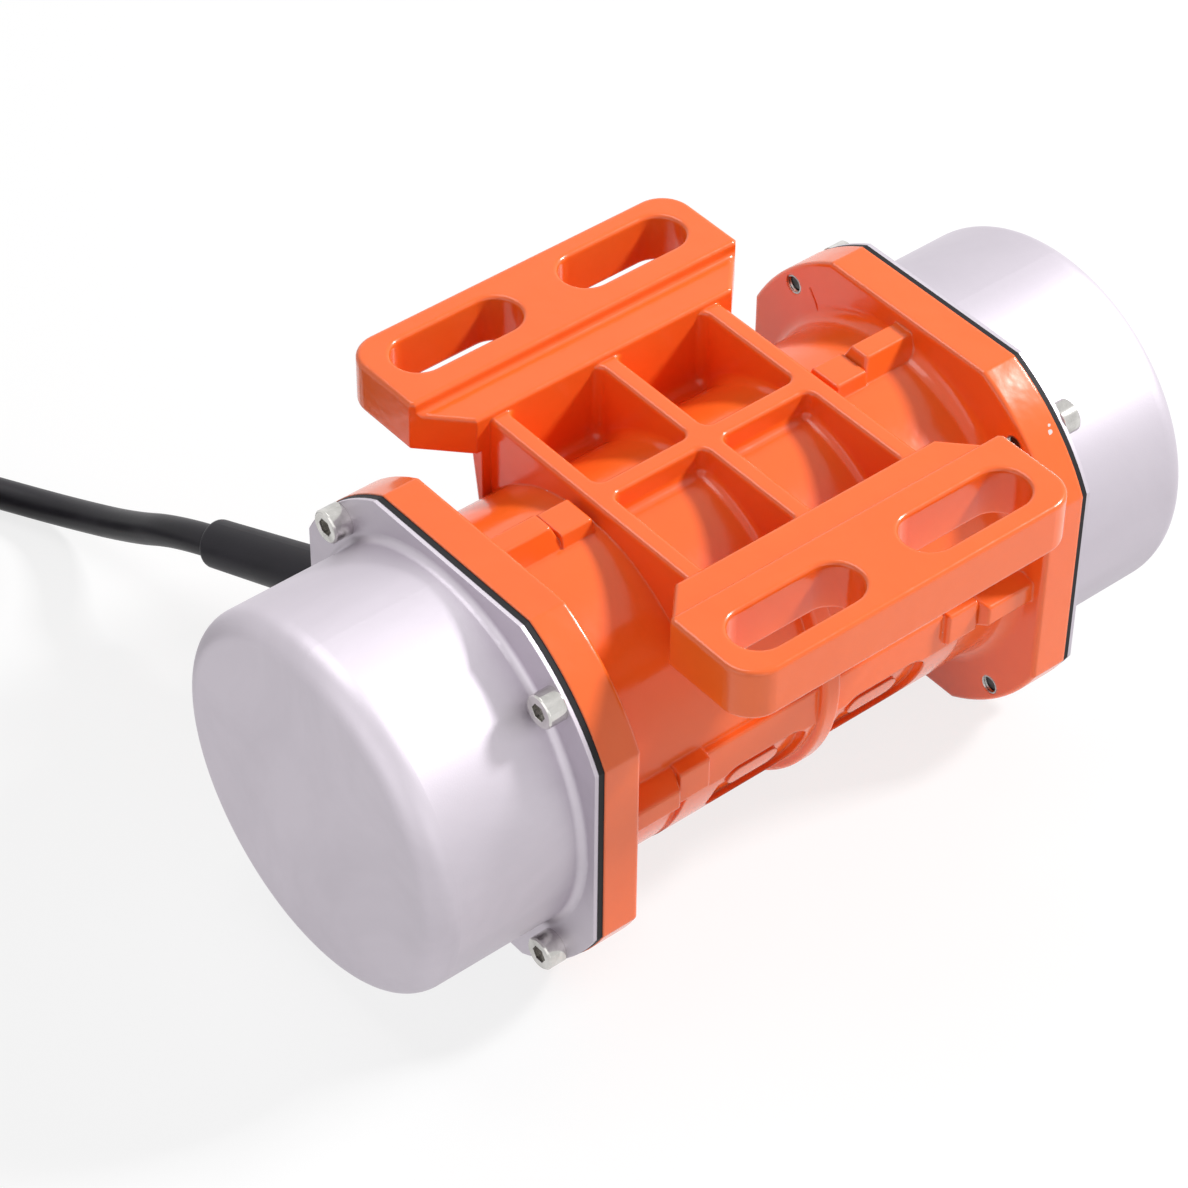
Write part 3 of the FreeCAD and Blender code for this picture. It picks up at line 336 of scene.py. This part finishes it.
metalFinishes = {
    "cap": {"name": "satinStainless", "color": (0.59, 0.545, 0.60, 1.0), "dark": (0.53, 0.49, 0.54, 1.0),
            "roughness": (0.50, 0.56), "grainScale": 2400.0, "grainDepth": 0.00003, "smudgeScale": 16.0},
    "screw": {"name": "brightNickel", "color": (0.68, 0.665, 0.64, 1.0), "dark": (0.46, 0.45, 0.43, 1.0),
              "roughness": (0.12, 0.22), "grainScale": 1800.0, "grainDepth": 0.00001, "smudgeScale": 160.0},
    "cast": {"name": "castAluminium", "color": (0.62, 0.63, 0.65, 1.0), "dark": (0.50, 0.51, 0.53, 1.0),
             "roughness": (0.42, 0.58), "grainScale": 900.0, "grainDepth": 0.00006, "smudgeScale": 60.0},
    "zinc": {"name": "zincPlate", "color": (0.62, 0.64, 0.68, 1.0), "dark": (0.50, 0.51, 0.52, 1.0),
             "roughness": (0.25, 0.38), "grainScale": 1500.0, "grainDepth": 0.00002, "smudgeScale": 120.0},
    "bearing": {"name": "groundSteel", "color": (0.74, 0.75, 0.77, 1.0), "dark": (0.66, 0.67, 0.69, 1.0),
                "roughness": (0.10, 0.18), "grainScale": 2400.0, "grainDepth": 0.000008, "smudgeScale": 90.0},
    "cage": {"name": "pressedCage", "color": (0.62, 0.50, 0.30, 1.0), "dark": (0.48, 0.38, 0.22, 1.0),
             "roughness": (0.24, 0.36), "grainScale": 1500.0, "grainDepth": 0.00002, "smudgeScale": 120.0},
    "spring": {"name": "blackenedSteel", "color": (0.10, 0.10, 0.11, 1.0), "dark": (0.06, 0.06, 0.065, 1.0),
               "roughness": (0.32, 0.46), "grainScale": 1200.0, "grainDepth": 0.00003, "smudgeScale": 120.0},
    "turned": {"name": "turnedSteel", "color": (0.58, 0.59, 0.61, 1.0), "dark": (0.46, 0.47, 0.49, 1.0),
               "roughness": (0.22, 0.34), "grainScale": 1400.0, "grainDepth": 0.00002, "smudgeScale": 70.0},
    "weight": {"name": "cutPlate", "color": (0.34, 0.34, 0.36, 1.0), "dark": (0.22, 0.21, 0.21, 1.0),
               "roughness": (0.40, 0.62), "grainScale": 700.0, "grainDepth": 0.00008, "smudgeScale": 50.0},
    "lamination": {"name": "stackedSheet", "color": (0.30, 0.31, 0.34, 1.0), "dark": (0.20, 0.20, 0.22, 1.0),
                   "roughness": (0.38, 0.52), "grainScale": 900.0, "grainDepth": 0.00004, "smudgeScale": 60.0},
    "tin": {"name": "tinnedCopper", "color": (0.72, 0.71, 0.68, 1.0), "dark": (0.60, 0.58, 0.55, 1.0),
            "roughness": (0.24, 0.36), "grainScale": 1600.0, "grainDepth": 0.00002, "smudgeScale": 200.0},
    "thread": {"name": "cutThread", "color": (0.50, 0.49, 0.48, 1.0), "dark": (0.30, 0.29, 0.28, 1.0),
               "roughness": (0.22, 0.36), "grainScale": 1800.0, "grainDepth": 0.00001, "smudgeScale": 300.0},
    # painted shade: a near-black finish for the screw end deep in a tapped hole, darker than the screws themselves
    "screwEndShade": {"name": "screwEndShade", "color": (0.10, 0.10, 0.10, 1.0), "dark": (0.05, 0.05, 0.05, 1.0),
                 "roughness": (0.35, 0.5), "grainScale": 1800.0, "grainDepth": 0.00002, "smudgeScale": 300.0},
}
metalSizes = {
    "edgeRadius": 0.0003,
    "edgeSamples": 6,
    "grainStrength": 0.5,
}


def metalMaterial(finish, sizes):
    material, w, shader, place = newMaterial(finish["name"])
    skin = w.group(grain, Vector=place, Scale=finish["grainScale"])
    marks = w.group(smudges, Vector=place, Scale=finish["smudgeScale"])
    w.join(w.mixColor(marks.outputs["Mask"], finish["color"], finish["dark"]), shader.inputs["Base Color"])
    joinRoughness(w, shader, marks.outputs["Mask"], finish["roughness"])
    shader.inputs["Metallic"].default_value = 1.0
    rounded = w.add("ShaderNodeBevel", samples=sizes["edgeSamples"])
    rounded.inputs["Radius"].default_value = sizes["edgeRadius"]
    normal = w.bump(skin.outputs["Fine"], sizes["grainStrength"], finish["grainDepth"], rounded.outputs[0])
    w.join(normal, shader.inputs["Normal"])
    return material


rubberFinishes = {
    "gasket": {"name": "gasketRubber", "color": (0.006, 0.006, 0.007, 1.0), "pale": (0.014, 0.013, 0.015, 1.0),
               "roughness": (0.6, 0.75), "grainScale": 900.0, "grainDepth": 0.0001},
    "sleeve": {"name": "sleeveRubber", "color": (0.010, 0.009, 0.013, 1.0), "pale": (0.019, 0.017, 0.023, 1.0),
               "roughness": (0.38, 0.52), "grainScale": 1400.0, "grainDepth": 0.00004},
    "cable": {"name": "cableRubber", "color": (0.011, 0.010, 0.013, 1.0), "pale": (0.021, 0.019, 0.024, 1.0),
              "roughness": (0.34, 0.48), "grainScale": 1100.0, "grainDepth": 0.00005},
}
rubberSizes = {
    "waves": 90.0,
    "smudgeScale": 40.0,
    "specular": 0.28,
    "waveBump": (0.3, 0.0003),    # strength and depth
    "grainStrength": 0.5,
}


def rubberMaterial(finish, sizes):
    material, w, shader, place = newMaterial(finish["name"])
    skin = w.group(grain, Vector=place, Scale=finish["grainScale"], Waves=sizes["waves"])
    marks = w.group(smudges, Vector=place, Scale=sizes["smudgeScale"])
    w.join(w.mixColor(marks.outputs["Mask"], finish["color"], finish["pale"]), shader.inputs["Base Color"])
    joinRoughness(w, shader, marks.outputs["Mask"], finish["roughness"])
    shader.inputs["Specular IOR Level"].default_value = sizes["specular"]
    normal = w.bump(skin.outputs["Broad"], *sizes["waveBump"])
    normal = w.bump(skin.outputs["Fine"], sizes["grainStrength"], finish["grainDepth"], normal)
    w.join(normal, shader.inputs["Normal"])
    return material


windingSizes = {
    "colors": [(0.58, 0.22, 0.08, 1.0), (0.36, 0.13, 0.05, 1.0)],
    "grainScale": 500.0,
    "smudgeScale": 60.0,
    "roughness": (0.25, 0.4),
    "metallic": 0.7,
    "bump": (0.8, 0.0003),
}


def windingMaterial(sizes):
    # varnished copper wire
    material, w, shader, place = newMaterial("copperWinding")
    skin = w.group(grain, Vector=place, Scale=sizes["grainScale"])
    marks = w.group(smudges, Vector=place, Scale=sizes["smudgeScale"])
    w.join(w.mixColor(marks.outputs["Mask"], *sizes["colors"]), shader.inputs["Base Color"])
    joinRoughness(w, shader, marks.outputs["Mask"], sizes["roughness"])
    shader.inputs["Metallic"].default_value = sizes["metallic"]
    w.join(w.bump(skin.outputs["Fine"], *sizes["bump"]), shader.inputs["Normal"])
    return material


coreSizes = {
    "colors": [(0.16, 0.055, 0.022, 1.0), (0.03, 0.10, 0.38, 1.0), (0.75, 0.55, 0.03, 1.0), (0.05, 0.28, 0.06, 1.0)],
    "start": (-0.18913, 0.22554, -0.08763),   # middle of the cable's cut end
    "out": (-0.7508, 0.6605, 0.0),            # across the flat of the coil
    "spread": 0.2,                            # how far the middle core turns in for each length along
    "side": 0.0019,
    "rise": 0.0012,
    "drop": 0.0009,
    "grainScale": 1500.0,
    "roughness": 0.35,
    "bump": (0.4, 0.00003),
}


def coreMaterial(sizes):
    # brown, blue and yellow with green, told apart by where each core leaves the sheath
    material, w, shader, place = newMaterial("coreInsulation")
    out = Vector(sizes["out"])
    along = Vector((-out.y, out.x, 0))
    slanted = out + along * sizes["spread"]
    local = w.add("ShaderNodeVectorMath", operation="SUBTRACT")
    w.join(place, local.inputs[0])
    local.inputs[1].default_value = sizes["start"]

    def beyond(side, height, middle):
        # 1 on the side of a plane that the direction (side, height) points to
        dot = w.add("ShaderNodeVectorMath", operation="DOT_PRODUCT")
        w.join(local.outputs[0], dot.inputs[0])
        dot.inputs[1].default_value = slanted * side + Vector((0, 0, height))
        return w.math("GREATER_THAN", dot.outputs["Value"], side * middle[0] + height * middle[1])

    lift = sizes["rise"] + sizes["drop"]
    height = (sizes["rise"] - sizes["drop"]) / 2
    overFirst = beyond(sizes["side"], lift, (-sizes["side"] / 2, height))
    overLast = beyond(-sizes["side"], lift, (sizes["side"] / 2, height))
    outer = beyond(1.0, 0.0, (0.0, 0.0))
    upper = beyond(0.0, 1.0, (0.0, -sizes["drop"]))
    brown, blue, yellow, green = sizes["colors"]
    earth = w.mixColor(upper, green, yellow)
    color = w.mixColor(outer, brown, earth)
    color = w.mixColor(w.math("MULTIPLY", overFirst, overLast), color, blue)
    w.join(color, shader.inputs["Base Color"])
    skin = w.group(grain, Vector=place, Scale=sizes["grainScale"])
    shader.inputs["Roughness"].default_value = sizes["roughness"]
    w.join(w.bump(skin.outputs["Fine"], *sizes["bump"]), shader.inputs["Normal"])
    return material


orangeEnamel = enamelMaterial(enamelSizes)
metals = {key: metalMaterial(finish, metalSizes) for key, finish in metalFinishes.items()}
rubbers = {key: rubberMaterial(finish, rubberSizes) for key, finish in rubberFinishes.items()}
dress(orangeEnamel, "housing")
dress(metals["cap"], *bothEnds("end_cap"))
dress(metals["screw"], *bothEnds("cap_screws"))
dress(rubbers["gasket"], *bothEnds("gasket"))
dress(rubbers["sleeve"], "cable_sleeve")
dress(rubbers["cable"], "cable", "cable_coil")
dress(metals["cast"], "rotor_cage", *bothEnds("end_shield"))
dress(metals["zinc"], *bothEnds("shield_screws", "clamp_bolt"))
dress(metals["bearing"], *bothEnds("bearing_outer", "bearing_inner", "bearing_balls"))
dress(metals["cage"], *bothEnds("bearing_cage"))
dress(metals["spring"], "preload_washer", *bothEnds("bearing_clip", "weight_clip", "grub_screw"))
dress(metals["turned"], "shaft", *bothEnds("spacer", "weight_key"))
dress(metals["weight"], *bothEnds("inner_weight", "outer_weight"))
dress(metals["lamination"], "stator_core", "rotor_core")
dress(windingMaterial(windingSizes), "stator_winding")
dress(coreMaterial(coreSizes), "cable_cores")
dress(metals["tin"], "core_ferrules")
print("finishes made")


# cable

cableSizes = {
    "diameter": 0.0084,
    "route": [(-0.0653, 0.1101, -0.0785), (-0.0682, 0.1224, -0.0815), (-0.0702, 0.1403, -0.0919),
              (-0.0744, 0.1652, -0.1014), (-0.0832, 0.1848, -0.1033), (-0.0956, 0.2074, -0.1033),
              (-0.1108, 0.2264, -0.1033)],
    "coilRadius": 0.049,
    "turns": 4,
    "pointsPerTurn": 20,
    "looseEnd": 100.0,      # degrees past the whole turns
    "inTurn": (300, 350),   # degrees of a turn in which each change of lane is made
    "climb": (240, 300),
    "outTurn": (190, 240),
    "topClimb": (135, 190),
    "nest": 0.88,           # rise of the loose end, in diameters, as it lies in the groove between two turns
    "steps": 10,            # curve segments between control points
    "roundness": 7,
}


def step(value, low, high):
    share = min(max((value - low) / (high - low), 0.0), 1.0)
    return share * share * (3 - 2 * share)


def coilPlace(angle, sizes):
    # radius and height above the floor of the wound cable; angle, in degrees, is counted from where it joins the coil
    d = sizes["diameter"]
    inner = sizes["coilRadius"] - d / 2
    outer = sizes["coilRadius"] + d / 2
    low = d / 2
    inward = step(angle, sizes["inTurn"][0], sizes["inTurn"][1])
    climb = step(angle, 360 + sizes["climb"][0], 360 + sizes["climb"][1])
    outward = step(angle, 720 + sizes["outTurn"][0], 720 + sizes["outTurn"][1])
    over = step(angle, 1080 + sizes["topClimb"][0], 1080 + sizes["topClimb"][1])
    radius = outer - d * inward + d * outward - d / 2 * over
    height = low + d * climb + d * sizes["nest"] * over
    return radius, height


def makeCable(sizes):
    d = sizes["diameter"]
    route = [Vector(point) for point in sizes["route"]]
    along = (route[-1] - route[-2]).normalized()
    left = Vector((-along.y, along.x, 0))
    centre = route[-1] + left * (sizes["coilRadius"] + d / 2)
    entry = math.atan2(-left.y, -left.x)
    total = sizes["turns"] * 360 + sizes["looseEnd"]
    count = round(total / 360 * sizes["pointsPerTurn"])
    bulge = 1 / math.cos(math.pi / sizes["pointsPerTurn"])   # keeps the curve on its radius
    points = list(route)
    for i in range(1, count + 1):
        angle = total * i / count
        radius, height = coilPlace(angle, sizes)
        turn = entry + math.radians(angle)
        reach = radius if i == count else radius * bulge
        points.append(Vector((centre.x + reach * math.cos(turn), centre.y + reach * math.sin(turn), floorZ + height)))
    data = bpy.data.curves.new("cableSheath", "CURVE")
    data.dimensions = "3D"
    spline = data.splines.new("NURBS")
    spline.points.add(len(points) - 1)
    for target, point in zip(spline.points, points):
        target.co = (*point, 1.0)
    spline.order_u = 3
    spline.use_endpoint_u = True
    spline.resolution_u = sizes["steps"]
    data.bevel_depth = d / 2
    data.bevel_resolution = sizes["roundness"]
    data.use_fill_caps = True
    data.materials.append(rubbers["cable"])
    cable = newObject("cableSheath", data)
    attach(cable, "motor")
    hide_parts("cable", "cable_coil")


makeCable(cableSizes)
print("cable laid and coiled")


# tapped holes of the flanges

threadSizes = {
    "major": 0.00253,     # radii
    "minor": 0.00212,
    "pitch": 0.0008,
    "headRadius": 0.00425,
    "chamfer": 0.0004,
    "clear": 0.00004,     # kept between the added metal and the solids
    "flange": 0.0105,     # thickness of the flange that the holes go through
    "perTurn": 32,
    "threadSmooth": 30.0,     # degrees
    "tipSmooth": 20.0,
}


def threadedHole(name, tipX, faceX, y, z, sizes):
    # the open part of one tapped hole, and a dark disc at the screw's end, painted shade for the bottom of the hole
    bm = bmesh.new()
    low, high = sorted((tipX, faceX))
    perTurn = sizes["perTurn"]
    turns = (high - low) / sizes["pitch"] + 1
    rows = []
    for i in range(round(perTurn * turns) + 1):
        turn = 2 * math.pi * i / perTurn
        middle = low + sizes["pitch"] * (i / perTurn - 0.5)
        row = []
        for shift, radius in ((-0.5, "major"), (0.0, "minor"), (0.5, "major")):
            x = min(max(middle + shift * sizes["pitch"], low), high)
            row.append(bm.verts.new((x, y + sizes[radius] * math.cos(turn), z + sizes[radius] * math.sin(turn))))
        rows.append(row)
    for first, second in zip(rows, rows[1:]):
        for k in range(2):
            bm.faces.new((first[k], first[k + 1], second[k + 1], second[k]))
    thread = finishMesh(name + "Thread", bm, metals["thread"], sizes["threadSmooth"])
    bm = bmesh.new()
    # a dark disc just past the screw's tip, painted shade inside the hole
    inset = sizes["chamfer"] if faceX > tipX else -sizes["chamfer"]
    start = tipX + (sizes["clear"] if faceX > tipX else -sizes["clear"])
    circles = []
    for x, radius in ((start, sizes["minor"]), (start + inset / 2, sizes["minor"] - sizes["chamfer"])):
        circles.append([bm.verts.new((x, y + radius * math.cos(2 * math.pi * i / perTurn),
                                      z + radius * math.sin(2 * math.pi * i / perTurn))) for i in range(perTurn)])
    for i in range(perTurn):
        k = (i + 1) % perTurn
        bm.faces.new((circles[0][i], circles[0][k], circles[1][k], circles[1][i]))
    bm.faces.new(circles[1])
    if faceX < tipX:
        bmesh.ops.reverse_faces(bm, faces=bm.faces)
    tip = finishMesh(name + "ShadeDisc", bm, metals["screwEndShade"], sizes["tipSmooth"])
    return [thread, tip]


def makeThreads(sizes):
    for side in ("left", "right"):
        low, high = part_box("cap_screws_" + side)
        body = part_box("gasket_" + side)
        tipX = high.x if side == "left" else low.x
        flangeX = body[1].x if side == "left" else body[0].x
        inner = flangeX + (sizes["flange"] if side == "left" else -sizes["flange"])
        for i, y in enumerate((low.y + sizes["headRadius"], high.y - sizes["headRadius"])):
            for k, z in enumerate((low.z + sizes["headRadius"], high.z - sizes["headRadius"])):
                for piece in threadedHole("hole" + side.title() + str(2 * i + k), tipX, inner, y, z, sizes):
                    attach(piece, "motor")


makeThreads(threadSizes)
print("threads cut")


# parting line of the casting, on the inner face of the right flange

partingSizes = {
    "radius": 0.00025,
    "roundness": 3,
    "points": [(0.0333, -0.0130), (0.0309, -0.0161), (0.0299, -0.0182), (0.0290, -0.0204)],    # Y and Z
}


def makePartingLine(sizes):
    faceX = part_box("gasket_right")[0].x - threadSizes["flange"]
    data = bpy.data.curves.new("partingLine", "CURVE")
    data.dimensions = "3D"
    spline = data.splines.new("POLY")
    spline.points.add(len(sizes["points"]) - 1)
    for target, (y, z) in zip(spline.points, sizes["points"]):
        target.co = (faceX, y, z, 1.0)
    data.bevel_depth = sizes["radius"]
    data.bevel_resolution = sizes["roundness"]
    data.use_fill_caps = True
    data.materials.append(orangeEnamel)
    line = newObject("partingLine", data)
    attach(line, "motor")


makePartingLine(partingSizes)
print("parting line laid")


# studio

studioSizes = {
    "floor": 3.0,
    "floorDrop": 0.0002,                      # keeps the floor clear of the housing
    "floorColor": (0.86, 0.86, 0.86, 1.0),
    "floorRoughness": 0.6,
    "floorSpecular": 0.1,
    "sky": 0.265,
    "glow": 0.80,                             # how much of the floor is seen as plain white
    "lamps": [
        # place, size, watts
        ((1.30, -0.50, 1.08), 0.26, 37.0),    # key, from the far end
        ((-0.10, 0.55, 1.30), 0.80, 5.5),     # soft top light
        ((0.55, 1.45, 0.42), 1.10, 0.6),      # low card behind
        ((-0.45, -1.30, 0.22), 1.10, 2.4),    # low front card
        ((-1.35, -0.20, 0.42), 1.10, 2.8),    # card facing the near cap
    ],
}


def seenRays(w):
    # 1 for rays that show the background: straight to the camera, in a reflection, or through glass
    path = w.add("ShaderNodeLightPath")
    seen = w.math("MAXIMUM", path.outputs["Is Camera Ray"], path.outputs["Is Glossy Ray"])
    return w.math("MAXIMUM", seen, path.outputs["Is Transmission Ray"])


def makeFloor(sizes):
    bm = bmesh.new()
    bmesh.ops.create_grid(bm, x_segments=1, y_segments=1, size=sizes["floor"] / 2)
    bmesh.ops.translate(bm, verts=bm.verts, vec=(0, 0, floorZ - sizes["floorDrop"]))
    material, w, shader = newMaterial("paleFloor")[:3]
    shader.inputs["Base Color"].default_value = sizes["floorColor"]
    shader.inputs["Roughness"].default_value = sizes["floorRoughness"]
    shader.inputs["Specular IOR Level"].default_value = sizes["floorSpecular"]
    glow = w.add("ShaderNodeEmission")
    glow.inputs["Strength"].default_value = 1.0
    mix = w.add("ShaderNodeMixShader")
    output = [node for node in w.tree.nodes if node.type == "OUTPUT_MATERIAL"][0]
    w.join(w.math("MULTIPLY", seenRays(w), sizes["glow"]), mix.inputs[0])
    w.join(shader.outputs[0], mix.inputs[1])
    w.join(glow.outputs[0], mix.inputs[2])
    w.join(mix.outputs[0], output.inputs["Surface"])
    floor = finishMesh("studioFloor", bm, material)


def makeWorld(sizes):
    world = bpy.data.worlds.new("studioWorld")
    scene.world = world
    world.use_nodes = True
    tree = world.node_tree
    tree.nodes.clear()
    w = Wiring(tree)
    output = w.add("ShaderNodeOutputWorld")
    mix = w.add("ShaderNodeMixShader")
    w.join(seenRays(w), mix.inputs[0])
    for slot, strength in ((1, sizes["sky"]), (2, 1.0)):
        background = w.add("ShaderNodeBackground")
        background.inputs["Color"].default_value = (1.0, 1.0, 1.0, 1.0)
        background.inputs["Strength"].default_value = strength
        w.join(background.outputs[0], mix.inputs[slot])
    w.join(mix.outputs[0], output.inputs["Surface"])


def makeLamps(sizes):
    aim = Vector((0, 0, shaftZ))
    for i, (spot, size, power) in enumerate(sizes["lamps"]):
        lamp = bpy.data.lights.new("softbox" + str(i), "AREA")
        lamp.shape = "SQUARE"
        lamp.size = size
        lamp.energy = power
        holder = newObject("softbox" + str(i), lamp)
        turn = (aim - Vector(spot)).to_track_quat("-Z", "Y").to_matrix().to_4x4()
        holder.matrix_world = Matrix.Translation(spot) @ turn


makeFloor(studioSizes)
makeWorld(studioSizes)
makeLamps(studioSizes)
scene.view_settings.view_transform = "Standard"
print("studio lit")
